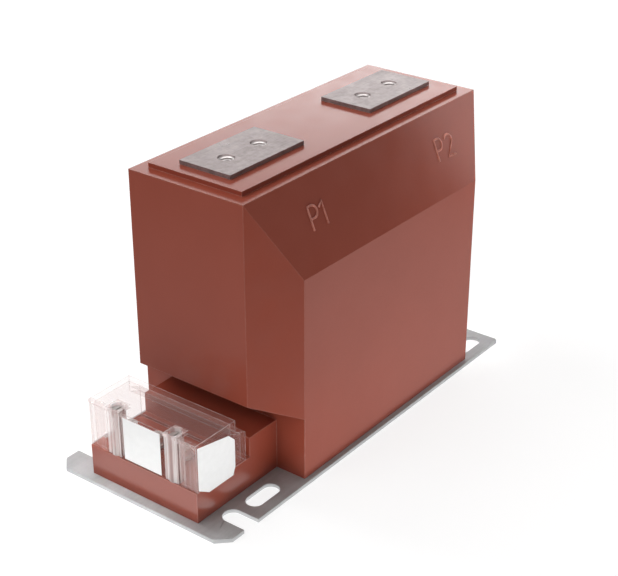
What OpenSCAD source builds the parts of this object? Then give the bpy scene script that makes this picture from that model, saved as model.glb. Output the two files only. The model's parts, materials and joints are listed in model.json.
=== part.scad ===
// Cast-resin block current transformer on a slotted steel base plate.
// X runs along the body with the secondary terminals at its negative end, Y runs across, Z is up.
// The origin is the middle of the base plate's underside. Sizes are in millimetres.

/* [Base plate] */
// Length of the steel base plate
plate_length = 348; // [342:1:380]
// Width of the base plate
plate_width = 156; // [152:1:180]
// Thickness of the base plate
plate_thickness = 3; // [3:0.5:6]
// Cut across each front corner of the plate
plate_front_cut = 9; // [3:0.5:12]
// Cut across each rear corner of the plate
plate_rear_cut = 2; // [1:0.5:6]
// Distance between front and rear slot centres
slot_spacing_x = 265; // [260:1:270]
// Distance between slot centres across the plate
slot_spacing_y = 125; // [122:1:130]
// End-to-end length of a slot
slot_length = 30; // [20:1:32]
// Width of a slot
slot_width = 13; // [9:0.5:14]
// Distance from the body's middle forward to the slot pattern's middle
slot_shift = 6; // [4:1:8]
// Distance from the plate's front edge to the middle of an open side notch
notch_setback = 28.5; // [24:0.5:30]
// Width of a side notch
notch_width = 14.5; // [10:0.5:15]
// Depth of a side notch
notch_depth = 23.5; // [16:0.5:25]

/* [Resin body] */
// Distance from the plate's middle to the body's middle
body_offset = 24; // [22:1:26]
// Length of the body at its ends
body_length = 275; // [266:1:284]
// Length of the wide middle of the body
bulge_length = 212; // [204:1:218]
// Width of the wide middle of the body
body_width = 148; // [142:1:152]
// Width of the body's top and ends
top_width = 99; // [90:1:108]
// Height of the body's top edge
body_height = 217; // [208:1:230]
// Height where the sides start to slope inward
shoulder_height = 159; // [152:1:166]
// Height of the undercut ends at the end faces
undercut_outer_height = 68; // [66:1:76]
// Height of the undercut ends where they meet the wide middle
undercut_inner_height = 52; // [48:1:58]

/* [Top pad] */
// Height of the raised pad on the top
pad_height = 3.5; // [2:0.5:6]
// Distance from the body's ends to the pad
pad_inset_x = 10; // [6:1:14]
// Distance from the body's top side edges to the pad
pad_inset_y = 9; // [5:1:14]

/* [Terminal block] */
// Width of the low block that carries the secondary terminals
block_width = 98; // [93:1:99]
// Distance from the body's middle to the block's front face
block_reach = 190.5; // [188:0.5:194]
// Height of the ledge that carries the terminals
ledge_height = 27; // [25:0.5:30]
// Height of the raised step behind the ledge
step_height = 42.5; // [39:0.5:46]
// Distance from the body's middle to the step's front face
step_reach = 135.5; // [132:0.5:137]

/* [Primary circuit] */
// Distance between the middles of the two primary terminal plates
terminal_pitch = 156; // [150:1:162]
// Length of a primary terminal plate
terminal_length = 78; // [74:1:80]
// Width of a primary terminal plate
terminal_width = 44; // [40:1:50]
// Height of a terminal plate above the pad
terminal_rise = 3; // [2:0.5:6]
// Distance between a terminal plate's two tapped holes
terminal_hole_spacing = 34; // [30:1:36]
// Tapping diameter of a terminal hole
terminal_hole_d = 10.2; // [8.5:0.1:12]
// Depth of a terminal hole
terminal_hole_depth = 20; // [14:1:22]
// Width of the primary bar
bar_width = 24; // [16:1:28]
// Thickness of the primary bar
bar_thickness = 12; // [8:1:14]

/* [Cores and windings] */
// Width of the measuring core
measuring_core_width = 36; // [30:1:40]
// Width of the protection core
protection_core_width = 44; // [36:1:48]
// Inner radius of both windings
winding_inner_r = 25; // [22:1:27]
// Thickness of a winding round its wrapped core
winding_thickness = 6; // [4:0.5:8]
// Resin between a winding and the body's side
resin_wall = 12; // [11:0.5:14]

/* [Secondary cover] */
// Height of the cover's top
cover_height = 64; // [60:0.5:68]
// Thickness of the cover's walls
cover_wall = 2.5; // [2:0.1:3]
// Length of the cover's tall front part
cover_box_length = 40.5; // [38:0.5:43]
// Height of the cover's low rear part at its front
lip_front_height = 54.5; // [52:0.5:57]
// Height of the cover's low rear part at its rear
lip_rear_height = 50; // [47:0.5:51]
// Diameter of a screw column
column_d = 11.5; // [11:0.5:13]
// Distance between the two screw columns
column_spacing = 53; // [50:0.5:55]
// Distance from the lip at the cover's top front edge back to its front wall
front_setback = 0.8; // [0.4:0.1:1.2]
// Length of a locating tongue at the cover's side
tongue_length = 26; // [20:1:30]
// Depth of a locating tongue below the ledge
tongue_depth = 5; // [3:0.5:6]

/* [Hidden] */
$fn = 64;

// Small overrun that makes a cut pass through a face
cut = 1;
resin_colour = [0.50, 0.22, 0.18];
steel_colour = [0.55, 0.55, 0.54];
tin_colour = [0.66, 0.65, 0.63];
copper_colour = [0.72, 0.43, 0.28];
brass_colour = [0.72, 0.58, 0.32];

// Levels above the floor
pad_top = body_height + pad_height;
terminal_top = pad_top + terminal_rise;
terminal_sunk = 7;
terminal_underside = pad_top - terminal_sunk;
core_z = (shoulder_height + plate_thickness) / 2;
lead_height = 7;
lead_z = plate_thickness + lead_height;

// Primary terminals
terminal_boss_d = 18;
terminal_boss_depth = 14;
terminal_mouth_chamfer = 1.1;

// Ring cores, each in a wrap inside its winding
winding_gap = 8;
wrap_thickness = 1;
winding_outer_r = body_width / 2 - resin_wall;
winding_side = winding_thickness + wrap_thickness;
measuring_winding_width = measuring_core_width + 2 * winding_side;
protection_winding_width = protection_core_width + 2 * winding_side;
measuring_x = -winding_gap / 2 - measuring_winding_width / 2;
protection_x = winding_gap / 2 + protection_winding_width / 2;

// Secondary terminals, four across the block
terminal_count = 4;
side_room = 11.5;
secondary_pitch = (block_width - 2 * side_room) / (terminal_count - 1);
secondary_setback = 27.5;
secondary_x = -block_reach + secondary_setback;
secondary_ys = [for (i = [0 : terminal_count - 1]) (i - (terminal_count - 1) / 2) * secondary_pitch];
measuring_ys = [secondary_ys[0], secondary_ys[1]];
protection_ys = [secondary_ys[2], secondary_ys[3]];
insert_r = 5.5;
insert_proud = 1;
insert_rise = 4;
insert_bottom = lead_z + insert_rise;
insert_floor = 2;
insert_top = ledge_height + insert_proud;
insert_bore_r = 3;
thread_play = 0.05;
flat_washer_r = 7;
spring_washer_r = 5.4;
washer_hole_r = 3.3;
washer_thickness = 1.6;
terminal_head_r = 5.4;
terminal_head_height = 4;
cross_reach = 3.2;
terminal_screw_reach = 9;

// Leads from the windings to the terminals
lead_size = 3;
lead_drop = 38;
lead_start_z = core_z - lead_drop;
lead_knee_inset = 14;
lead_knee_x = -bulge_length / 2 + lead_knee_inset;
lead_foot_reach = 4.5;
lead_foot_x = -step_reach - lead_foot_reach;

// Cover, its columns and what they screw into
cover_front = -block_reach;
cover_box_rear = cover_front + cover_box_length;
cover_rear_gap = 4.3;
cover_rear = -step_reach - cover_rear_gap;
cover_half_width = block_width / 2;
column_x = cover_front + column_d / 2;
cover_hole_r = 2.75;
column_wall = 1;
cover_counterbore_r = column_d / 2 - column_wall;
cover_counterbore_depth = 6.5;
cover_insert_r = 4.5;
cover_insert_depth = 18;
cover_thread_r = 2.5;
cover_head_play = 0.5;
cover_head_r = cover_counterbore_r - cover_head_play;
cover_head_height = 4;
cover_screw_reach = 13;
screw_slot = 1.2;
cover_slot_depth = 1.6;
tongue_setback = 12;
tongue_x = cover_front + tongue_setback;
tongue_play = 0.2;

// Labels on the cover
label_thickness = 0.3;
label_margin = 1.2;
front_label_width = 34;
front_label_foot = 1;
front_label_head = 0.4;
label_rear_drop = 6;
label_rear_cut = 6;

// Screws between the plate and the casting
plate_screw_x = 80;
plate_screw_inset = 16;
plate_screw_y = body_width / 2 - plate_screw_inset;
plate_insert_r = 7;
plate_insert_height = 18;
plate_screw_r = 3;
plate_head_r = 6;
plate_screw_reach = 14;

// Moves what belongs to the body to its place on the plate
module on_plate() {
    translate([body_offset, 0, 0]) children();
}

// Stands a side-view outline, drawn as X and Z, up as a slab of that width centred on Y
module side_slab(width) {
    rotate([90, 0, 0]) linear_extrude(width, center = true) children();
}

// A box from its low corner to its high corner
module box(low, high) {
    translate(low) cube(high - low);
}

// A slot outline along X, centred
module slot_outline(length, width) {
    square([length - width, width], center = true);
    for (side = [-1, 1]) translate([side * (length - width) / 2, 0]) circle(d = width);
}

// A ring with its axis along X, centred on its width
module ring(outer_r, inner_r, width) {
    rotate([0, 90, 0]) difference() {
        cylinder(r = outer_r, h = width, center = true);
        cylinder(r = inner_r, h = width + 2 * cut, center = true);
    }
}

// Copies the children to each secondary terminal
module at_secondaries() {
    for (y = secondary_ys) translate([secondary_x, y, 0]) children();
}

// Copies the children to each screw column
module at_columns() {
    for (side = [-1, 1]) translate([column_x, side * column_spacing / 2, 0]) children();
}

// Copies the children to each screw between plate and casting
module at_plate_screws() {
    for (x = [-1, 1], y = [-1, 1]) translate([x * plate_screw_x, y * plate_screw_y, 0]) children();
}

// Plan outline of the casting's main mass: wide middle, corners cut off to narrower ends
module body_plan() {
    end = body_length / 2;
    bulge = bulge_length / 2;
    narrow = top_width / 2;
    wide = body_width / 2;
    polygon([
        [-end, -narrow], [-bulge, -wide], [bulge, -wide], [end, -narrow],
        [end, narrow], [bulge, wide], [-bulge, wide], [-end, narrow]
    ]);
}

// End-view outline of the main mass, drawn as Y and Z: upright sides, then sloping shoulders
module body_section() {
    narrow = top_width / 2;
    wide = body_width / 2;
    polygon([
        [-wide, plate_thickness], [wide, plate_thickness], [wide, shoulder_height],
        [narrow, body_height], [-narrow, body_height], [-wide, shoulder_height]
    ]);
}

// Side-view outline of the space under one end, drawn with that end on the positive side
module undercut_outline() {
    far = body_length / 2 + cut;
    slope = (undercut_outer_height - undercut_inner_height) / (body_length - bulge_length) * 2;
    polygon([
        [bulge_length / 2, plate_thickness - cut], [far, plate_thickness - cut],
        [far, undercut_outer_height + slope * cut], [bulge_length / 2, undercut_inner_height]
    ]);
}

module main_mass() {
    difference() {
        intersection() {
            linear_extrude(body_height) body_plan();
            rotate([90, 0, 90]) linear_extrude(body_length + 2 * cut, center = true) body_section();
        }
        for (end = [0, 1]) mirror([end, 0, 0]) side_slab(body_width + 2 * cut) undercut_outline();
    }
}

// The low block with its ledge and step, and the foot under the rear end
module low_blocks() {
    half = block_width / 2;
    bulge = bulge_length / 2;
    box([-block_reach, -half, plate_thickness], [-bulge + cut, half, ledge_height]);
    box([-step_reach, -half, plate_thickness], [-bulge + cut, half, step_height]);
    box([bulge - cut, -half, plate_thickness], [body_length / 2, half, undercut_outer_height + cut]);
}

module top_pad() {
    half_length = body_length / 2 - pad_inset_x;
    half_width = top_width / 2 - pad_inset_y;
    box([-half_length, -half_width, body_height - cut], [half_length, half_width, pad_top]);
}

// Rebates in the block's sides for the cover's tongues
module tongue_rebates() {
    inner = cover_half_width - cover_wall - tongue_play;
    bottom = ledge_height - tongue_depth - tongue_play;
    for (side = [0, 1]) mirror([0, side, 0])
        box([tongue_x - tongue_play, inner, bottom],
            [tongue_x + tongue_length + tongue_play, cover_half_width + cut, ledge_height + cut]);
}

// Solid envelope of one winding with its core inside
module winding_envelope(width) {
    ring(winding_outer_r, winding_inner_r, width);
}

// Solid envelope of one wrapped core
module wrap_envelope(core_width) {
    ring(winding_outer_r - winding_thickness, winding_inner_r + winding_thickness,
        core_width + 2 * wrap_thickness);
}

module terminal_shape() {
    translate([-terminal_length / 2, -terminal_width / 2, terminal_underside])
        cube([terminal_length, terminal_width, terminal_sunk + terminal_rise]);
    boss_foot = terminal_underside - terminal_boss_depth;
    for (side = [-1, 1]) translate([side * terminal_hole_spacing / 2, 0, boss_foot])
        cylinder(d = terminal_boss_d, h = terminal_boss_depth + cut);
}

module terminal_holes() {
    mouth_r = terminal_hole_d / 2 + terminal_mouth_chamfer;
    for (side = [-1, 1]) translate([side * terminal_hole_spacing / 2, 0, 0]) {
        translate([0, 0, terminal_top - terminal_hole_depth])
            cylinder(d = terminal_hole_d, h = terminal_hole_depth + cut);
        translate([0, 0, terminal_top - terminal_mouth_chamfer])
            cylinder(r1 = terminal_hole_d / 2, r2 = mouth_r, h = terminal_mouth_chamfer);
    }
}

module primary_terminal() {
    color(tin_colour) difference() {
        terminal_shape();
        terminal_holes();
    }
}

// Side-view outline of a round-cornered trough, open at the top
module trough_outline(half, low, high, r) {
    translate([-half + r, low]) square([2 * (half - r), r + cut]);
    translate([-half, low + r]) square([2 * half, high - low - r]);
    for (side = [-1, 1]) translate([side * (half - r), low + r]) circle(r);
}

module bar_shape(over = 0) {
    outer = terminal_pitch / 2 + terminal_length / 2;
    high = terminal_underside + over;
    low = core_z - bar_thickness / 2;
    inner_bend = bar_thickness / 2;
    side_slab(bar_width) difference() {
        trough_outline(outer, low, high, inner_bend + bar_thickness);
        trough_outline(outer - bar_thickness, low + bar_thickness, high + cut, inner_bend);
    }
}

// Side-view outline of a lead along its corner points, with mitred corners
function across(points, i) = let (step = points[i + 1] - points[i]) [-step.y, step.x] / norm(step);
function mitre(points, i) =
    i == 0 ? across(points, 0) :
    i == len(points) - 1 ? across(points, i - 1) :
    let (before = across(points, i - 1), after = across(points, i)) (before + after) / (1 + before * after);
function lead_edge(points, offset) = [
    for (i = [0 : len(points) - 1]) points[i] + offset * mitre(points, i)
];
function backward(points) = [for (i = [len(points) - 1 : -1 : 0]) points[i]];

module lead_outline(points) {
    polygon(concat(lead_edge(points, lead_size / 2), backward(lead_edge(points, -lead_size / 2))));
}

measuring_route = [
    [measuring_x - measuring_winding_width / 2, lead_start_z], [lead_knee_x, lead_start_z],
    [lead_foot_x, lead_z], [secondary_x, lead_z], [secondary_x, insert_bottom]
];
protection_route = [
    [protection_x - protection_winding_width / 2, lead_start_z], [0, lead_start_z],
    [0, lead_z], [secondary_x, lead_z], [secondary_x, insert_bottom]
];

// The same route carried on into the winding at its start and into the insert at its end
function carried_on(route) = [
    for (i = [0 : len(route) - 1]) route[i] + (i == 0 ? [cut, 0] : i == len(route) - 1 ? [0, cut] : [0, 0])
];

module leads(route, ys) {
    for (y = ys) translate([0, y, 0]) side_slab(lead_size) lead_outline(route);
}

module insert_shapes() {
    at_secondaries() translate([0, 0, insert_bottom])
        cylinder(r = insert_r, h = insert_top - insert_bottom);
}

module cover_insert_shapes() {
    at_columns() translate([0, 0, ledge_height - cover_insert_depth])
        cylinder(r = cover_insert_r, h = cover_insert_depth);
}

module plate_insert_shapes() {
    at_plate_screws() translate([0, 0, plate_thickness])
        cylinder(r = plate_insert_r, h = plate_insert_height);
}

// The casting, with the spaces that its inner pieces fill
module resin_body() {
    color(resin_colour) on_plate() difference() {
        union() {
            main_mass();
            low_blocks();
            top_pad();
        }
        tongue_rebates();
        for (end = [-1, 1]) translate([end * terminal_pitch / 2, 0, 0]) terminal_shape();
        bar_shape(cut);
        translate([measuring_x, 0, core_z]) winding_envelope(measuring_winding_width);
        translate([protection_x, 0, core_z]) winding_envelope(protection_winding_width);
        leads(carried_on(measuring_route), measuring_ys);
        leads(carried_on(protection_route), protection_ys);
        insert_shapes();
        cover_insert_shapes();
        plate_insert_shapes();
    }
}

module plate_outline() {
    x = plate_length / 2;
    y = plate_width / 2;
    front = plate_front_cut;
    rear = plate_rear_cut;
    polygon([
        [-x, -y + front], [-x + front, -y], [x - rear, -y], [x, -y + rear],
        [x, y - rear], [x - rear, y], [-x + front, y], [-x, y - front]
    ]);
}

// Open notch in the plate's side, drawn at the positive side
module notch_outline() {
    round_y = plate_width / 2 - notch_depth + notch_width / 2;
    translate([-plate_length / 2 + notch_setback, round_y]) {
        circle(d = notch_width);
        translate([-notch_width / 2, 0]) square([notch_width, notch_depth]);
    }
}

module base_plate() {
    slot_middle = body_offset - slot_shift;
    color(steel_colour) difference() {
        linear_extrude(plate_thickness) difference() {
            plate_outline();
            for (x = [-1, 1], y = [-1, 1])
                translate([slot_middle + x * slot_spacing_x / 2, y * slot_spacing_y / 2])
                    slot_outline(slot_length, slot_width);
            for (side = [0, 1]) mirror([0, side]) notch_outline();
        }
        on_plate() at_plate_screws() plate_screw_shape();
    }
}

module front_primary_terminal() {
    on_plate() translate([-terminal_pitch / 2, 0, 0]) primary_terminal();
}

module rear_primary_terminal() {
    on_plate() translate([terminal_pitch / 2, 0, 0]) primary_terminal();
}

module primary_bar() {
    color(copper_colour) on_plate() bar_shape();
}

// Ring core, its wrap and its winding share one axis through the middle of the casting
module core(width) {
    color([0.38, 0.39, 0.41]) ring(winding_outer_r - winding_side, winding_inner_r + winding_side, width);
}

module core_wrap(width) {
    color([0.85, 0.80, 0.62]) difference() {
        wrap_envelope(width);
        ring(winding_outer_r - winding_side, winding_inner_r + winding_side, width);
    }
}

module winding(width) {
    color(copper_colour) difference() {
        winding_envelope(width + 2 * winding_side);
        wrap_envelope(width);
    }
}

module measuring_core() {
    on_plate() translate([measuring_x, 0, core_z]) core(measuring_core_width);
}

module measuring_core_wrap() {
    on_plate() translate([measuring_x, 0, core_z]) core_wrap(measuring_core_width);
}

module measuring_winding() {
    on_plate() translate([measuring_x, 0, core_z]) winding(measuring_core_width);
}

module protection_core() {
    on_plate() translate([protection_x, 0, core_z]) core(protection_core_width);
}

module protection_core_wrap() {
    on_plate() translate([protection_x, 0, core_z]) core_wrap(protection_core_width);
}

module protection_winding() {
    on_plate() translate([protection_x, 0, core_z]) winding(protection_core_width);
}

module measuring_leads() {
    color(copper_colour) on_plate() leads(measuring_route, measuring_ys);
}

module protection_leads() {
    color(copper_colour) on_plate() leads(protection_route, protection_ys);
}

module secondary_inserts() {
    color(brass_colour) on_plate() difference() {
        insert_shapes();
        at_secondaries() translate([0, 0, insert_bottom + insert_floor])
            cylinder(r = insert_bore_r, h = insert_top);
    }
}

module terminal_flat_washers() {
    color(tin_colour) on_plate() at_secondaries() translate([0, 0, insert_top]) difference() {
        cylinder(r = flat_washer_r, h = washer_thickness);
        translate([0, 0, -cut]) cylinder(r = washer_hole_r, h = washer_thickness + 2 * cut);
    }
}

module terminal_spring_washers() {
    seat = insert_top + washer_thickness;
    color(tin_colour) on_plate() at_secondaries() translate([0, 0, seat]) difference() {
        cylinder(r = spring_washer_r, h = washer_thickness);
        translate([0, 0, -cut]) cylinder(r = washer_hole_r, h = washer_thickness + 2 * cut);
        translate([0, -screw_slot / 2, -cut])
            cube([spring_washer_r + cut, screw_slot, washer_thickness + 2 * cut]);
    }
}

module terminal_screws() {
    seat = insert_top + 2 * washer_thickness;
    shank = seat - insert_top + terminal_screw_reach;
    color(tin_colour) on_plate() at_secondaries() difference() {
        union() {
            translate([0, 0, seat]) cylinder(r = terminal_head_r, h = terminal_head_height);
            translate([0, 0, insert_top - terminal_screw_reach])
                cylinder(r = insert_bore_r - thread_play, h = shank + cut);
        }
        for (turn = [0, 90]) rotate(turn)
            translate([-cross_reach, -screw_slot / 2, seat + terminal_head_height / 2])
                cube([2 * cross_reach, screw_slot, terminal_head_height]);
    }
}

// Side-view outline of the cover, drawn in by that much on all sides but its open foot
module cover_outline(inset) {
    foot = ledge_height - (inset > 0 ? cut : 0);
    lip_fall = (lip_front_height - lip_rear_height) / (cover_rear - cover_box_rear);
    polygon([
        [cover_front + inset, foot], [cover_front + inset, cover_height - inset],
        [cover_box_rear - inset, cover_height - inset],
        [cover_box_rear - inset, lip_front_height - inset + lip_fall * inset],
        [cover_rear - inset, lip_rear_height - inset + lip_fall * inset], [cover_rear - inset, foot]
    ]);
}

// Open-footed shell whose top sheet ends in a small lip over the front wall
module cover_shell() {
    lip_underside = cover_height - cover_wall;
    front_wall = cover_front + front_setback;
    difference() {
        side_slab(2 * cover_half_width) cover_outline(0);
        box([cover_front - cut, -cover_half_width - cut, 0],
            [front_wall, cover_half_width + cut, lip_underside]);
        difference() {
            side_slab(2 * (cover_half_width - cover_wall)) cover_outline(cover_wall);
            box([cover_front - cut, -cover_half_width, 0],
                [front_wall + cover_wall, cover_half_width, cover_height]);
        }
    }
}

module cover_tongues() {
    for (side = [0, 1]) mirror([0, side, 0])
        box([tongue_x, cover_half_width - cover_wall, ledge_height - tongue_depth],
            [tongue_x + tongue_length, cover_half_width, ledge_height + cut]);
}

module secondary_cover() {
    color([0.86, 0.90, 0.92, 0.35]) on_plate() difference() {
        union() {
            cover_shell();
            cover_tongues();
            at_columns() translate([0, 0, ledge_height])
                cylinder(d = column_d, h = cover_height - ledge_height);
        }
        at_columns() {
            translate([0, 0, ledge_height - cut]) cylinder(r = cover_hole_r, h = cover_height);
            translate([0, 0, cover_height - cover_counterbore_depth])
                cylinder(r = cover_counterbore_r, h = cover_counterbore_depth + cut);
        }
    }
}

module cover_inserts() {
    color(brass_colour) on_plate() difference() {
        cover_insert_shapes();
        at_columns() translate([0, 0, ledge_height - cover_insert_depth + insert_floor])
            cylinder(r = cover_thread_r, h = cover_insert_depth);
    }
}

module cover_screws() {
    seat = cover_height - cover_counterbore_depth;
    head_top = seat + cover_head_height;
    shank = seat - ledge_height + cover_screw_reach;
    color(tin_colour) on_plate() at_columns() difference() {
        union() {
            translate([0, 0, seat]) cylinder(r = cover_head_r, h = cover_head_height);
            translate([0, 0, ledge_height - cover_screw_reach])
                cylinder(r = cover_thread_r - thread_play, h = shank + cut);
        }
        translate([-cover_head_r - cut, -screw_slot / 2, head_top - cover_slot_depth])
            cube([2 * (cover_head_r + cut), screw_slot, cover_slot_depth + cut]);
    }
}

module front_label() {
    half = front_label_width / 2;
    front_wall = cover_front + front_setback;
    color("white") on_plate() box([front_wall - label_thickness, -half, ledge_height + front_label_foot],
        [front_wall, half, cover_height - cover_wall - front_label_head]);
}

// Blank field on the cover's side, reaching down over the tongue
module side_label() {
    front = cover_front + front_setback + label_margin;
    rear = cover_box_rear - label_margin;
    top = cover_height - cover_wall;
    foot = ledge_height - tongue_depth;
    tongue_end = tongue_x + tongue_length;
    color("white") on_plate() translate([0, -cover_half_width - label_thickness / 2, 0])
        side_slab(label_thickness) polygon([
            [front, ledge_height + label_margin], [front, top],
            [rear - label_rear_cut, top - label_rear_drop], [rear, top - 2 * label_rear_drop],
            [rear, ledge_height + label_margin],
            [tongue_end - label_margin, foot], [tongue_x, foot]
        ]);
}

module plate_inserts() {
    color(brass_colour) on_plate() difference() {
        plate_insert_shapes();
        at_plate_screws() translate([0, 0, plate_thickness - cut])
            cylinder(r = plate_screw_r, h = plate_insert_height - insert_floor + cut);
    }
}

// Countersunk screw with its head flush with the plate's underside
module plate_screw_shape() {
    cylinder(r1 = plate_head_r, r2 = plate_screw_r - thread_play, h = plate_head_r - plate_screw_r);
    cylinder(r = plate_screw_r - thread_play, h = plate_thickness + plate_screw_reach);
}

module plate_screws() {
    color(steel_colour) on_plate() at_plate_screws() difference() {
        plate_screw_shape();
        for (turn = [0, 90]) rotate(turn)
            translate([-plate_screw_r, -screw_slot / 2, -cut])
                cube([2 * plate_screw_r, screw_slot, cut + screw_slot]);
    }
}

resin_body();
base_plate();
front_primary_terminal();
rear_primary_terminal();
primary_bar();
measuring_core();
measuring_core_wrap();
measuring_winding();
protection_core();
protection_core_wrap();
protection_winding();
measuring_leads();
protection_leads();
secondary_inserts();
terminal_screws();
terminal_flat_washers();
terminal_spring_washers();
secondary_cover();
cover_screws();
cover_inserts();
front_label();
side_label();
plate_inserts();
plate_screws();
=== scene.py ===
"""Looks of a cast-resin block current transformer: materials, raised marks, threads, light and camera."""
import json
import math

import bmesh
import bpy
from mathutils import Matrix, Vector


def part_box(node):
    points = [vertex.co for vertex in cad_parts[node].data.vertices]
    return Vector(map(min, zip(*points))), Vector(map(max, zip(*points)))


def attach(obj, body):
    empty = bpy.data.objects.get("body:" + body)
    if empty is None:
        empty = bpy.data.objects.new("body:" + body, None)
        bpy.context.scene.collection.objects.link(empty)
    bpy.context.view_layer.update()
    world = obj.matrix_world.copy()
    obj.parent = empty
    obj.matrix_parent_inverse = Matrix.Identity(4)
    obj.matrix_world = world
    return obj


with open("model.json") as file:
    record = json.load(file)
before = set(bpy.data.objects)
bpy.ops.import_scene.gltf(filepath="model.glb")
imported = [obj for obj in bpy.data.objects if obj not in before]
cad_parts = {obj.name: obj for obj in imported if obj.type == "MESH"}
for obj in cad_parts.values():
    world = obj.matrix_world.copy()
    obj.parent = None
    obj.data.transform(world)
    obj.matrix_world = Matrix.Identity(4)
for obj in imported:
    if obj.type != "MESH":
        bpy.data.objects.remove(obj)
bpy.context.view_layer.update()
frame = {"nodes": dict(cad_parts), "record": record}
nodes = frame["nodes"]
scene = bpy.context.scene
MM = 0.001


# Node trees

class NodeTree:
    """A node tree under construction. A value in it is a socket, a number or a colour."""

    def __init__(self, tree):
        self.tree = tree

    def add(self, kind, **settings):
        made = self.tree.nodes.new(kind)
        for key, value in settings.items():
            setattr(made, key, value)
        return made

    def link(self, source, target):
        self.tree.links.new(source, target)

    def feed(self, value, socket):
        """Gives a socket its value, as a link, a colour or a number."""
        if isinstance(value, bpy.types.NodeSocket):
            self.link(value, socket)
        elif isinstance(value, tuple):
            socket.default_value = (*value, 1.0)
        else:
            socket.default_value = value

    def math(self, operation, first, second=0.0):
        made = self.add("ShaderNodeMath", operation=operation)
        self.feed(first, made.inputs[0])
        self.feed(second, made.inputs[1])
        return made.outputs[0]

    def total(self, first, second):
        return self.math("ADD", first, second)

    def product(self, first, second):
        return self.math("MULTIPLY", first, second)

    def larger(self, first, second):
        return self.math("MAXIMUM", first, second)

    def unsigned(self, value):
        return self.math("ABSOLUTE", value)

    def span(self, value, given, result, curve="LINEAR"):
        """Maps a value from the given range to the result's range, held at both ends."""
        made = self.add("ShaderNodeMapRange", interpolation_type=curve)
        for key, number in zip(("From Min", "From Max", "To Min", "To Max"), (*given, *result)):
            made.inputs[key].default_value = number
        self.link(value, made.inputs["Value"])
        return made.outputs["Result"]


# Materials

WHITE = (1.0, 1.0, 1.0)
# Nearly all of a noise lies in the first range, and its middle in the second
NOISE_RANGE = (0.3, 0.7)
NOISE_CORE = (0.35, 0.65)
# How far a rounded normal leans where an edge starts and where it is full
EDGE_LEAN = (0.02, 0.25)
EDGE_SAMPLES = 4


class Surface(NodeTree):
    """A material under construction, patterned by the piece's own coordinates in metres."""

    def __init__(self, name):
        self.material = bpy.data.materials.new(name)
        self.material.use_nodes = True
        super().__init__(self.material.node_tree)
        self.shader = self.tree.nodes["Principled BSDF"]
        self.position = self.add("ShaderNodeTexCoord").outputs["Object"]

    def stretched(self, x, y, z):
        """The coordinates scaled along each axis, for grain that runs one way."""
        mapping = self.add("ShaderNodeMapping")
        mapping.inputs["Scale"].default_value = (x, y, z)
        self.link(self.position, mapping.inputs["Vector"])
        return mapping.outputs["Vector"]

    def noise(self, scale, detail=3.0, rough=0.55, vector=None):
        made = self.add("ShaderNodeTexNoise")
        made.inputs["Scale"].default_value = scale
        made.inputs["Detail"].default_value = detail
        made.inputs["Roughness"].default_value = rough
        self.link(vector or self.position, made.inputs["Vector"])
        return made.outputs["Fac"]

    def varied(self, result, scale, detail=3.0, given=NOISE_RANGE):
        """A number that noise moves within the result's range."""
        return self.span(self.noise(scale, detail), given, result)

    def zone(self, value, soft_edge, result):
        """Goes from the result's first number to its second across a soft edge in millimetres."""
        start, end = soft_edge
        return self.span(value, (start * MM, end * MM), result)

    def colours(self, value, *stops):
        """A ramp through (place, colour) stops."""
        made = self.add("ShaderNodeValToRGB")
        ramp = made.color_ramp
        while len(ramp.elements) < len(stops):
            ramp.elements.new(0.5)
        for element, (place, colour) in zip(ramp.elements, stops):
            element.position = place
            element.color = (*colour, 1.0)
        self.link(value, made.inputs["Fac"])
        return made.outputs["Color"]

    def clouded(self, dark, light, scale, detail=3.0):
        """A colour that noise moves between two."""
        return self.colours(self.noise(scale, detail), *zip(NOISE_RANGE, (dark, light)))

    def mix(self, amount, first, second, blend="MIX"):
        """Mixes two colours. Inputs 6 and 7 and output 2 are the node's colour sockets."""
        made = self.add("ShaderNodeMix", data_type="RGBA", blend_type=blend)
        self.feed(amount, made.inputs[0])
        self.feed(first, made.inputs[6])
        self.feed(second, made.inputs[7])
        return made.outputs[2]

    def edges(self, radius):
        """0 on flat ground and 1 along edges, from how far a rounded normal leans from the true one."""
        rounded = self.add("ShaderNodeBevel", samples=EDGE_SAMPLES)
        rounded.inputs["Radius"].default_value = radius
        true = self.add("ShaderNodeNewGeometry")
        along = self.add("ShaderNodeVectorMath", operation="DOT_PRODUCT")
        self.link(rounded.outputs["Normal"], along.inputs[0])
        self.link(true.outputs["Normal"], along.inputs[1])
        lean = self.math("SUBTRACT", 1.0, along.outputs["Value"])
        return self.span(lean, EDGE_LEAN, (0.0, 1.0))

    def waves(self, direction, scale, distortion):
        made = self.add("ShaderNodeTexWave", wave_type="BANDS", bands_direction=direction)
        made.inputs["Scale"].default_value = scale
        made.inputs["Distortion"].default_value = distortion
        self.link(self.position, made.inputs["Vector"])
        return made.outputs["Fac"]

    def bump(self, height, strength, distance):
        made = self.add("ShaderNodeBump")
        made.inputs["Strength"].default_value = strength
        made.inputs["Distance"].default_value = distance
        self.link(height, made.inputs["Height"])
        self.link(made.outputs["Normal"], self.shader.inputs["Normal"])

    def set(self, **values):
        """Feeds the shader's sockets, whose names have _ for each space."""
        for key, value in values.items():
            self.feed(value, self.shader.inputs[key.replace("_", " ")])


RESIN_DARK = (0.268, 0.0545, 0.0310)
RESIN_LIGHT = (0.286, 0.0595, 0.0345)
RESIN_SPECK = (0.94, 0.94, 0.94)
# Lighter colour along the resin's edges: partly wear, partly a painted highlight
RESIN_EDGE_WEAR_AND_HIGHLIGHT = (0.50, 0.25, 0.20)
# The raised marks' lighter colour: a painted highlight where their strokes catch the light
MARK_HIGHLIGHT = (0.74, 0.28, 0.21)
MARK_HIGHLIGHT_SHARE = 0.68
EDGE_DULLING = 0.12


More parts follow.
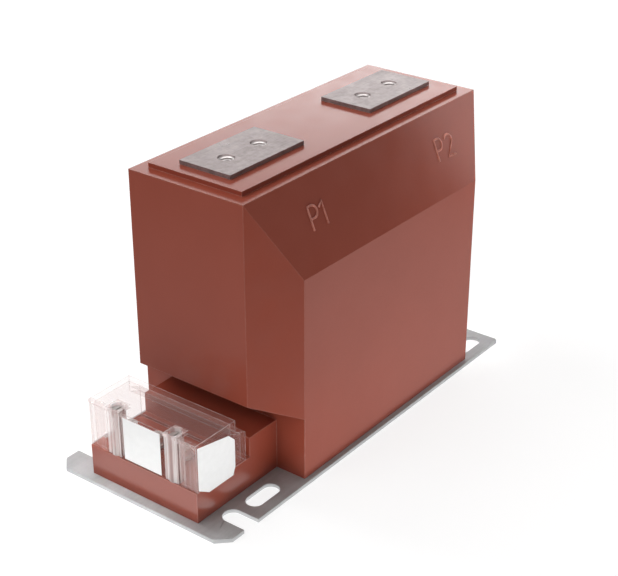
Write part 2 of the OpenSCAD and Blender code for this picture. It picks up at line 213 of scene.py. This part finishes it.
def cast_resin(name, ground_highlight=0.0, wear_and_highlight_colour=RESIN_EDGE_WEAR_AND_HIGHLIGHT):
    """Iron-oxide red epoxy: slightly mottled, fine speckle, semi-gloss skin, edges lighter from wear and a
    painted highlight.

    The second argument is how far the ground between the edges takes that lighter colour too, as a painted
    highlight.
    """
    s = Surface(name)
    mottle = s.clouded(RESIN_DARK, RESIN_LIGHT, scale=14.0, detail=4.0)
    speckle = s.clouded(RESIN_SPECK, WHITE, scale=1400.0, detail=2.0)
    base = s.mix(1.0, mottle, speckle, "MULTIPLY")
    # Lighter edges: partly real wear, partly a painted highlight where the edges catch the light
    edge_wear_and_highlight = s.product(s.edges(1.4 * MM), s.varied((0.30, 0.60), scale=90.0, detail=5.0))
    # On the marks, the ground between the edges is painted lighter too, as a highlight
    if ground_highlight:
        edge_wear_and_highlight = s.larger(edge_wear_and_highlight, s.varied((0.5 * ground_highlight, ground_highlight), scale=260.0, given=NOISE_CORE))
    skin = s.varied((0.18, 0.25), scale=55.0, detail=5.0)
    rough = s.total(skin, s.product(edge_wear_and_highlight, EDGE_DULLING))
    s.set(IOR=1.48, Base_Color=s.mix(edge_wear_and_highlight, base, wear_and_highlight_colour), Roughness=rough)
    s.bump(s.noise(scale=700.0), strength=0.10, distance=0.08 * MM)
    return s.material


GRAIN_SHARE = 0.35
TONE_RANGE = (0.32, 0.68)
SMUDGE = (-0.07, 0.10)


def metal(name, dark, light, rough, grain, wear=None, metallic=1.0, cloud_scale=60.0):
    """Bare or plated metal: one-way grain, clouded tone, smudged gloss and worn edges."""
    s = Surface(name)
    lines = s.noise(scale=1.0, detail=4.0, rough=0.6, vector=s.stretched(*grain))
    cloud = s.noise(scale=cloud_scale, detail=5.0)
    tone = s.total(s.product(lines, GRAIN_SHARE), s.product(cloud, 1 - GRAIN_SHARE))
    base = s.colours(tone, *zip(TONE_RANGE, (dark, light)))
    if wear:
        patches = s.varied((0.2, 0.8), scale=150.0, detail=4.0, given=NOISE_CORE)
        base = s.mix(s.product(s.edges(0.7 * MM), patches), base, wear)
    smears = s.noise(scale=35.0, detail=6.0, rough=0.65)
    gloss = s.span(smears, NOISE_RANGE, (rough + SMUDGE[0], rough + SMUDGE[1]))
    s.set(Metallic=metallic, Base_Color=base, Roughness=gloss)
    s.bump(lines, strength=0.2, distance=0.04 * MM)
    return s.material


# Places on the cover in millimetres: each pair is where a soft edge starts and ends
COLUMN_AXIS = 26.5
COLUMN_SIDE = (5.8, 6.3)
COLUMN_REAR = (-154.5, -153.5)
END_START = (33.0, 35.0)
END_REAR = (-163.5, -162.5)
END_SHARE = 0.5
FACING_BLEND = 0.35
SCUFF_GRAIN = (500.0, 60.0, 500.0)
STREAK_GRAIN = (260.0, 360.0, 6.0)
# Veil colours: their pink is a painted red bounce from the resin inside
HAZE_AND_BOUNCE_DARK = (0.76, 0.44, 0.40)
HAZE_AND_BOUNCE_LIGHT = (0.84, 0.54, 0.50)
# Streak colours on the columns and the ends of the front: painted highlights with a painted pink bounce
STREAK_HIGHLIGHT_STOPS = (
    (0.40, (0.72, 0.53, 0.51)),
    (0.50, (0.86, 0.72, 0.70)),
    (0.60, (0.97, 0.92, 0.91)),
)
# Pale colour along the cover's edges: a painted highlight
RIM_HIGHLIGHT = (0.86, 0.82, 0.82)


def clear_plastic():
    """Clear moulded cover: nearly unseen face on, with painted highlights on its edges, its columns and
    the ends of its front.
    """
    s = Surface("clear_plastic")
    lean = s.add("ShaderNodeLayerWeight")
    lean.inputs["Blend"].default_value = FACING_BLEND
    scratches = s.noise(scale=1.0, detail=5.0, rough=0.7, vector=s.stretched(*SCUFF_GRAIN))
    scuffs = s.span(scratches, (0.45, 0.8), (0.0, 0.04))
    # The pale veil grows towards grazing angles, partly as a painted reflection
    sheet = s.total(s.span(lean.outputs["Facing"], (0.2, 0.95), (0.03, 0.24)), scuffs)
    # A painted highlight along the cover's edges, in colour and alpha
    rim_highlights = s.product(s.edges(1.0 * MM), s.varied((0.40, 0.90), scale=160.0))

    place = s.add("ShaderNodeSeparateXYZ")
    s.link(s.position, place.inputs[0])
    x = place.outputs["X"]
    off_middle = s.unsigned(place.outputs["Y"])
    off_axis = s.unsigned(s.math("SUBTRACT", off_middle, COLUMN_AXIS * MM))
    column = s.product(s.zone(off_axis, COLUMN_SIDE, (1.0, 0.0)), s.zone(x, COLUMN_REAR, (1.0, 0.0)))
    ends = s.product(s.zone(off_middle, END_START, (0.0, END_SHARE)), s.zone(x, END_REAR, (1.0, 0.0)))
    thick = s.larger(column, ends)

    # Vertical streaks on the columns and the ends of the front: painted highlights
    streaks = s.noise(scale=1.0, detail=2.0, rough=0.5, vector=s.stretched(*STREAK_GRAIN))
    streak_alpha = s.product(thick, s.span(streaks, NOISE_CORE, (0.40, 0.62)))
    # A pink veil: painted red bounce from the resin inside
    haze_and_bounce = s.clouded(HAZE_AND_BOUNCE_DARK, HAZE_AND_BOUNCE_LIGHT, scale=40.0)
    tint = s.mix(rim_highlights, s.mix(thick, haze_and_bounce, s.colours(streaks, *STREAK_HIGHLIGHT_STOPS)), RIM_HIGHLIGHT)
    gloss = s.varied((0.06, 0.16), scale=90.0, detail=4.0)
    s.set(IOR=1.49, Base_Color=tint, Alpha=s.larger(s.larger(sheet, streak_alpha), rim_highlights), Roughness=gloss)
    s.bump(s.noise(scale=120.0, detail=2.0), strength=0.06, distance=0.2 * MM)
    return s.material


FILM_DARK = (0.86, 0.86, 0.855)
FILM_LIGHT = (0.90, 0.90, 0.895)


def film():
    """Blank white label film with a fine tooth."""
    s = Surface("label")
    tone = s.clouded(FILM_DARK, FILM_LIGHT, scale=220.0, detail=4.0)
    s.set(Base_Color=tone, Roughness=s.varied((0.38, 0.55), scale=300.0))
    s.bump(s.noise(scale=2500.0, detail=2.0), strength=0.1, distance=0.03 * MM)
    return s.material


TAPE_STOPS = ((0.1, (0.55, 0.48, 0.30)), (0.4, (0.70, 0.63, 0.42)))


def tape():
    """Insulating wrap: overlapped turns of pale tape."""
    s = Surface("wrap")
    turns = s.waves("DIAGONAL", scale=40.0, distortion=1.0)
    s.set(Base_Color=s.colours(turns, *TAPE_STOPS), Roughness=s.varied((0.6, 0.8), scale=200.0))
    s.bump(turns, strength=0.4, distance=0.3 * MM)
    return s.material


WIRE_STOPS = ((0.0, (0.12, 0.035, 0.012)), (0.6, (0.42, 0.14, 0.045)))


def wound_wire():
    """Enamelled copper wire laid side by side round the ring."""
    s = Surface("winding_copper")
    wires = s.waves("X", scale=180.0, distortion=0.6)
    s.set(Metallic=0.85, Coat_Weight=0.5, Base_Color=s.colours(wires, *WIRE_STOPS),
          Roughness=s.varied((0.25, 0.4), scale=90.0))
    s.bump(wires, strength=0.6, distance=0.5 * MM)
    return s.material


# Grain as noise scales along X, Y and Z: the small one is the way it runs
SHEET_GRAIN = (30.0, 400.0, 400.0)
LONG_GRAIN = (25.0, 900.0, 900.0)
RING_GRAIN = (900.0, 40.0, 40.0)
TURNED_GRAIN = (700.0, 700.0, 60.0)
SLOTS = {
    "resin": cast_resin("resin"),
    "plate_steel": metal("plate_steel", (0.36, 0.362, 0.365), (0.48, 0.482, 0.485), 0.42, SHEET_GRAIN,
                         wear=(0.62, 0.62, 0.62), metallic=0.25),
    "tinned_copper": metal("tinned_copper", (0.175, 0.138, 0.135), (0.340, 0.276, 0.272), 0.33, LONG_GRAIN,
                           wear=(0.34, 0.30, 0.295), metallic=0.45, cloud_scale=240.0),
    "copper": metal("copper", (0.55, 0.24, 0.12), (0.76, 0.40, 0.24), 0.32, LONG_GRAIN),
    "winding_copper": wound_wire(),
    "core_steel": metal("core_steel", (0.16, 0.165, 0.17), (0.30, 0.31, 0.32), 0.38, RING_GRAIN),
    "wrap": tape(),
    "brass": metal("brass", (0.16, 0.115, 0.06), (0.28, 0.215, 0.12), 0.42, TURNED_GRAIN,
                   wear=(0.42, 0.36, 0.25), metallic=0.75),
    "plated_steel": metal("plated_steel", (0.50, 0.49, 0.48), (0.72, 0.71, 0.69), 0.30, TURNED_GRAIN,
                          wear=(0.80, 0.79, 0.77), metallic=0.6),
    "clear_plastic": clear_plastic(),
    "label": film(),
}
# The raised marks' resin, painted lighter all over as a highlight
highlighted_mark_resin = cast_resin("resin_mark_highlighted", MARK_HIGHLIGHT_SHARE, MARK_HIGHLIGHT)
# The threads' tin is painted lighter than the terminals' own, to lift the shaded walls of the holes
lightened_thread_tin = metal("lightened_thread_tin", (0.60, 0.55, 0.54), (0.80, 0.75, 0.74), 0.34, TURNED_GRAIN, metallic=0.8)

for part in frame["record"]["subparts"]:
    piece = nodes[part["node"]]
    piece.data.materials.clear()
    piece.data.materials.append(SLOTS[part["material_slot"]])


# Edges: a small true radius, in millimetres, on the pieces that show

EDGE_RADII = {
    "resin_body": 1.6,
    "base_plate": 0.4,
    "front_primary_terminal": 0.7,
    "rear_primary_terminal": 0.7,
    "secondary_cover": 0.4,
    "cover_screws": 0.25,
    "terminal_screws": 0.3,
}
EDGE_STEPS = 3
EDGE_FROM_ANGLE = 18
WELD_DISTANCE = 0.001 * MM
FLAT_FACE_WEIGHT = 100

for name, radius in EDGE_RADII.items():
    weld = nodes[name].modifiers.new("weld", "WELD")
    weld.merge_threshold = WELD_DISTANCE
    edge = nodes[name].modifiers.new("edge", "BEVEL")
    edge.width = radius * MM
    edge.segments = EDGE_STEPS
    edge.limit_method = "ANGLE"
    edge.angle_limit = math.radians(EDGE_FROM_ANGLE)
    edge.use_clamp_overlap = True
    shade = nodes[name].modifiers.new("shade", "WEIGHTED_NORMAL")
    shade.weight = FLAT_FACE_WEIGHT
    shade.keep_sharp = False


# Raised terminal marks on the sloping side, in millimetres

SLOPE_FOOT = Vector((0.0, -74.0, 159.0))
SLOPE_TOP = Vector((0.0, -49.5, 217.0))
UP_SLOPE = (SLOPE_TOP - SLOPE_FOOT).normalized()
MARK_BASE = 26.0
MARK_HEIGHT = 16.5
MARK_STROKE = 0.85
MARK_ROUNDING = 4
MARK_P1_X = -58.0
MARK_P2_X = 94.0
ONE_SHIFT = 11.0
TWO_SHIFT = 12.5
ARC_STEPS = 14


def arc(middle, radii, start, end):
    """Points on an elliptical arc, from one angle in degrees to another."""
    angles = [math.radians(start + (end - start) * i / ARC_STEPS) for i in range(ARC_STEPS + 1)]
    return [(middle[0] + radii[0] * math.cos(a), middle[1] + radii[1] * math.sin(a)) for a in angles]


# The stroke of each sign in a box one unit high
SIGN_P = [(0.0, 0.0), (0.0, 1.0), (0.24, 1.0)] + arc((0.24, 0.735), (0.27, 0.265), 90, -90) + [(0.0, 0.47)]
SIGN_1 = [(0.0, 0.78), (0.26, 1.0), (0.26, 0.0)]
SIGN_2 = arc((0.27, 0.74), (0.27, 0.26), 165, -35) + [(0.0, 0.0), (0.58, 0.0)]


def slope_point(x, up):
    return (Vector((x, 0, 0)) + SLOPE_FOOT + UP_SLOPE * up) * MM


def raised_mark(name, x, signs):
    """Half-round ridges that follow the signs' strokes, standing on the sloping side."""
    curve = bpy.data.curves.new(name, "CURVE")
    curve.dimensions = "3D"
    curve.bevel_depth = MARK_STROKE * MM
    curve.bevel_resolution = MARK_ROUNDING
    curve.use_fill_caps = True
    for shift, stroke in signs:
        line = curve.splines.new("POLY")
        line.points.add(len(stroke) - 1)
        for point, (u, v) in zip(line.points, stroke):
            place = slope_point(x + shift + u * MARK_HEIGHT, MARK_BASE + v * MARK_HEIGHT)
            point.co = (*place, 1.0)
    mark = bpy.data.objects.new(name, curve)
    scene.collection.objects.link(mark)
    curve.materials.append(highlighted_mark_resin)
    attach(mark, "root")


raised_mark("mark_P1", MARK_P1_X, [(0.0, SIGN_P), (ONE_SHIFT, SIGN_1)])
raised_mark("mark_P2", MARK_P2_X, [(0.0, SIGN_P), (TWO_SHIFT, SIGN_2)])


# Threads in the tapped terminal holes, in millimetres

THREAD_PITCH = 1.75
THREAD_TOP = 0.9
THREAD_TURNS = 7
THREAD_DEPTH = 0.80
THREAD_RUN_IN = 0.4
THREAD_FLAT = 0.1
SLEEVE_PLAY = 0.02
SLEEVE_BACK = 0.15
SLEEVE_COLUMNS = 48
ROWS_A_TURN = 10


def thread_section(turn, radius):
    """(radius, drop) points round the sleeve's section at a share of a turn: threaded wall, then back."""
    section = []
    for row in range(ROWS_A_TURN * THREAD_TURNS + 1):
        drop = THREAD_PITCH * row / ROWS_A_TURN
        ridge = 1 - abs(2 * ((row / ROWS_A_TURN - turn) % 1.0) - 1)
        ridge = min(1.0, max(0.0, (ridge - THREAD_FLAT) / (1 - 2 * THREAD_FLAT)))
        ridge *= min(1.0, drop / THREAD_RUN_IN)
        section.append((radius - SLEEVE_PLAY - THREAD_DEPTH * ridge, drop))
    back = radius + SLEEVE_BACK
    return section + [(back, THREAD_PITCH * THREAD_TURNS), (back, 0.0)]


def thread(name, x, top, radius):
    """A tapped hole's wall as a closed sleeve, with a helical ridge on its inside."""
    mesh = bmesh.new()
    sections = []
    for i in range(SLEEVE_COLUMNS):
        turn = i / SLEEVE_COLUMNS
        way = Vector((math.cos(2 * math.pi * turn), math.sin(2 * math.pi * turn), 0.0))
        points = [Vector((x, 0, top - drop)) + way * r for r, drop in thread_section(turn, radius)]
        sections.append([mesh.verts.new(point * MM) for point in points])
    for first, second in zip(sections, sections[1:] + sections[:1]):
        for k in range(len(first)):
            after = (k + 1) % len(first)
            mesh.faces.new((first[k], first[after], second[after], second[k]))
    bmesh.ops.recalc_face_normals(mesh, faces=mesh.faces)
    data = bpy.data.meshes.new(name)
    mesh.to_mesh(data)
    mesh.free()
    sleeve = bpy.data.objects.new(name, data)
    scene.collection.objects.link(sleeve)
    data.materials.append(lightened_thread_tin)
    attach(sleeve, "root")


mounts = {mount["name"]: mount for mount in frame["record"]["mounts"]}
for end in ("front", "rear"):
    mount = mounts[end + "_terminal_bolts"]
    thread_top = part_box(end + "_primary_terminal")[1].z / MM - THREAD_TOP
    for number, side in ((1, -1), (2, 1)):
        hole_x = mount["pos_m"][0] / MM + side * mount["dims"]["spacing_x_mm"] / 2
        thread("thread_%s_%d" % (end, number), hole_x, thread_top, mount["dims"]["hole_r_mm"])


# Floor and sky, with places in metres

FLOOR_HALF_SIZE = 6.0
FLOOR_SEGMENTS = 8
FLOOR_DROP = 0.0002
FLOOR_COLOUR = (0.30, 0.30, 0.30)
FLOOR_BOUNCE = 1.95
FAR_SHARE = 0.18
BLOCK_END = (-0.15, -0.22, 0.0)
RIGHT_REAR = (0.6, -0.8, 0.0)
PANEL_WAY = (0.682, 0.731, 0.0)
SKY_SHOWN = 1.0
SKY_LIGHT = 0.20
X_AXIS = (1.0, 0.0, 0.0)
Y_AXIS = (0.0, 1.0, 0.0)
Z_AXIS = (0.0, 0.0, 1.0)


class Rig(NodeTree):
    """The floor's or the sky's node tree, which answers each kind of ray in its own way."""

    def __init__(self, tree, coordinates, emitter):
        super().__init__(tree)
        tree.nodes.clear()
        self.emitter = emitter
        self.path = self.add("ShaderNodeLightPath").outputs
        self.position = self.add("ShaderNodeTexCoord").outputs[coordinates]

    def glow(self, strength):
        made = self.add(self.emitter)
        self.feed(WHITE, made.inputs["Color"])
        self.feed(strength, made.inputs["Strength"])
        return made.outputs[0]

    def choose(self, when, no, yes):
        made = self.add("ShaderNodeMixShader")
        for source, target in zip((when, no, yes), made.inputs):
            self.link(source, target)
        return made.outputs[0]

    def by_ray(self, shown, mirrored, lighting):
        """One shader for the eye, straight or through glass, one for mirrors and one as a light."""
        unseen = self.choose(self.path["Is Glossy Ray"], lighting, mirrored)
        direct = self.larger(self.path["Is Camera Ray"], self.path["Is Transmission Ray"])
        return self.choose(direct, unseen, shown)

    def measured(self, operation, other):
        made = self.add("ShaderNodeVectorMath", operation=operation)
        self.link(self.position, made.inputs[0])
        made.inputs[1].default_value = other
        return made.outputs["Value"]

    def along(self, direction):
        return self.measured("DOT_PRODUCT", direction)

    def reach(self, middle=(0.0, 0.0, 0.0)):
        return self.measured("DISTANCE", middle)

    def ease(self, value, given, result):
        return self.span(value, given, result, "SMOOTHSTEP")


def floor_material():
    """White to the eye, with a soft shadow, and a white bounce that is stronger on the right side."""
    material = bpy.data.materials.new("floor")
    material.use_nodes = True
    rig = Rig(material.node_tree, "Object", "ShaderNodeEmission")
    x = rig.along(X_AXIS)
    y = rig.along(Y_AXIS)
    near = rig.ease(rig.reach(), (0.28, 0.95), (1.0, FAR_SHARE))

    # To the eye: diffuse for the shadow, and enough glow for white
    lit = rig.add("ShaderNodeBsdfDiffuse")
    rig.feed(FLOOR_COLOUR, lit.inputs["Color"])
    shown = rig.add("ShaderNodeAddShader")
    rig.link(rig.glow(rig.ease(rig.reach(), (0.6, 2.2), (0.80, 1.0))), shown.inputs[0])
    rig.link(lit.outputs[0], shown.inputs[1])

    # As a light: strong near the part, weaker ahead of it, with a pool beside the terminal block
    right = rig.ease(rig.along(RIGHT_REAR), (-0.5, 0.5), (0.80, 1.20))
    bounce = rig.product(near, rig.product(right, rig.ease(x, (-0.35, -0.08), (0.66, 1.0))))
    pool = rig.ease(rig.reach(BLOCK_END), (0.04, 0.28), (0.30, 0.0))
    lighting = rig.glow(rig.product(rig.total(bounce, pool), FLOOR_BOUNCE))

    # In mirrors: dimmer to the front right, with a bright strip close to the terminal block
    in_front = rig.ease(x, (-0.16, -0.04), (1.0, 0.0))
    dip = rig.product(in_front, rig.ease(y, (-0.15, -0.05), (0.32, 0.0)))
    wide = rig.product(near, rig.math("SUBTRACT", rig.ease(x, (-0.12, 0.12), (0.42, 0.62)), dip))
    by_middle = rig.product(in_front, rig.ease(rig.unsigned(y), (0.05, 0.10), (1.0, 0.0)))
    strip = rig.product(rig.ease(x, (-0.26, -0.20), (0.0, 1.35)), by_middle)
    mirrored = rig.glow(rig.total(wide, strip))

    surface = rig.by_ray(shown.outputs[0], mirrored, lighting)
    rig.link(surface, rig.add("ShaderNodeOutputMaterial").inputs["Surface"])
    return material


def make_floor():
    grid = bmesh.new()
    bmesh.ops.create_grid(grid, x_segments=FLOOR_SEGMENTS, y_segments=FLOOR_SEGMENTS, size=FLOOR_HALF_SIZE)
    data = bpy.data.meshes.new("floor")
    grid.to_mesh(data)
    grid.free()
    data.materials.append(floor_material())
    floor = bpy.data.objects.new("floor", data)
    floor.location = (0, 0, -FLOOR_DROP)
    scene.collection.objects.link(floor)


def make_sky():
    """White to the eye and dim as a light.

    In mirrors it is bright overhead, with a low panel behind the part and a soft glow on the other sides.
    """
    world = bpy.data.worlds.new("studio")
    world.use_nodes = True
    scene.world = world
    sky = Rig(world.node_tree, "Generated", "ShaderNodeBackground")
    rise = sky.along(Z_AXIS)
    behind = sky.along(PANEL_WAY)
    overhead = sky.total(sky.ease(rise, (0.40, 0.85), (0.03, 0.90)),
                         sky.ease(rise, (0.80, 0.95), (0.0, 0.70)))
    panel_face = sky.total(sky.ease(rise, (0.354, 0.394), (2.1, 0.0)),
                           sky.ease(rise, (0.305, 0.335), (1.8, 0.0)))
    panel_ends = sky.ease(behind, (0.82, 0.93), (0.12, 1.30))
    panel_foot = sky.ease(rise, (0.20, 0.29), (0.3, 1.0))
    panel = sky.product(panel_face, sky.product(panel_ends, panel_foot))
    around = sky.product(sky.ease(behind, (0.30, 0.75), (0.50, 0.0)),
                         sky.ease(rise, (0.30, 0.42), (0.0, 1.0)))
    mirrored = sky.glow(sky.total(sky.total(overhead, panel), around))
    surface = sky.by_ray(sky.glow(SKY_SHOWN), mirrored, sky.glow(SKY_LIGHT))
    sky.link(surface, sky.add("ShaderNodeOutputWorld").inputs["Surface"])


make_floor()
make_sky()


# Lamps, with places and sizes in metres

def softbox(name, place, aim, size, radiance, mirrored=False, lights=True, half_angle=None):
    """A rectangular lamp whose face has that radiance along its aim.

    half_angle, in degrees, narrows its light to a cone.
    """
    width, height = size
    lamp = bpy.data.lights.new(name, "AREA")
    lamp.shape = "RECTANGLE"
    lamp.size = width
    lamp.size_y = height
    # A narrowed lamp packs its whole power into the cone, so it gets only the share that the cone takes
    share = 0.5
    if half_angle:
        angle = math.radians(half_angle)
        lamp.spread = 2 * angle
        share = (math.tan(angle) - angle) / (2 * math.tan(angle))
    lamp.energy = radiance * 2 * math.pi * share * width * height
    holder = bpy.data.objects.new(name, lamp)
    holder.location = place
    holder.rotation_euler = (Vector(aim) - Vector(place)).to_track_quat("-Z", "Y").to_euler()
    holder.visible_camera = False
    holder.visible_glossy = mirrored
    holder.visible_diffuse = lights
    scene.collection.objects.link(holder)


softbox("key", place=(-0.13, 0.96, 1.15), aim=(-0.02, 0.0, 0.15), size=(0.40, 1.1), radiance=5.2)
softbox("rear_key", place=(0.88, 0.36, 1.04), aim=(0.02, 0.0, 0.18), size=(1.2, 1.0), radiance=2.0)
softbox("left_spot", place=(-0.20, 0.45, 0.32), aim=(-0.17, 0.02, 0.0), size=(0.06, 0.06),
        radiance=520.0, half_angle=5.5)
softbox("front_fill", place=(-0.40, 0.85, 1.10), aim=(-0.05, 0.0, 0.10), size=(1.0, 0.8),
        radiance=1.0, mirrored=True)
softbox("right_low", place=(0.10, -1.20, 0.25), aim=(0.0, 0.0, 0.08), size=(1.4, 0.45), radiance=0.30)
softbox("right_rear", place=(1.35, -0.45, 0.30), aim=(0.10, 0.0, 0.12), size=(0.5, 0.4),
        radiance=1.6, mirrored=True)
softbox("front", place=(-0.88, 0.25, 0.85), aim=(-0.12, 0.0, 0.10), size=(0.9, 0.5), radiance=3.5)
softbox("rear_spot", place=(0.36, -0.24, 0.40), aim=(0.15, -0.055, 0.19), size=(0.10, 0.10),
        radiance=41.0, half_angle=14)
softbox("plate_spot", place=(0.27, -0.10, 0.60), aim=(0.165, -0.055, 0.0), size=(0.06, 0.06),
        radiance=240.0, half_angle=5)
softbox("rear_card", place=(0.377, -0.176, 0.216), aim=(0.12, -0.06, 0.19), size=(0.16, 0.16),
        radiance=1.2, mirrored=True, lights=False)


# Camera, fitted to the photograph

CAMERA_PLACE = (-0.7374, -0.5799, 0.5784)
CAMERA_AZIMUTH = -52.54
CAMERA_ELEVATION = 27.16
CAMERA_LENS = 82.98
SENSOR_WIDTH = 36.0
NEAREST = 0.01
FARTHEST = 50.0

lens = bpy.data.cameras.new("camera")
lens.lens = CAMERA_LENS
lens.sensor_width = SENSOR_WIDTH
lens.clip_start = NEAREST
lens.clip_end = FARTHEST
camera = bpy.data.objects.new("camera", lens)
camera.location = CAMERA_PLACE
camera.rotation_euler = (math.radians(90 - CAMERA_ELEVATION), 0, math.radians(CAMERA_AZIMUTH))
scene.collection.objects.link(camera)
scene.camera = camera
scene.view_settings.view_transform = "Standard"

bpy.context.view_layer.update()
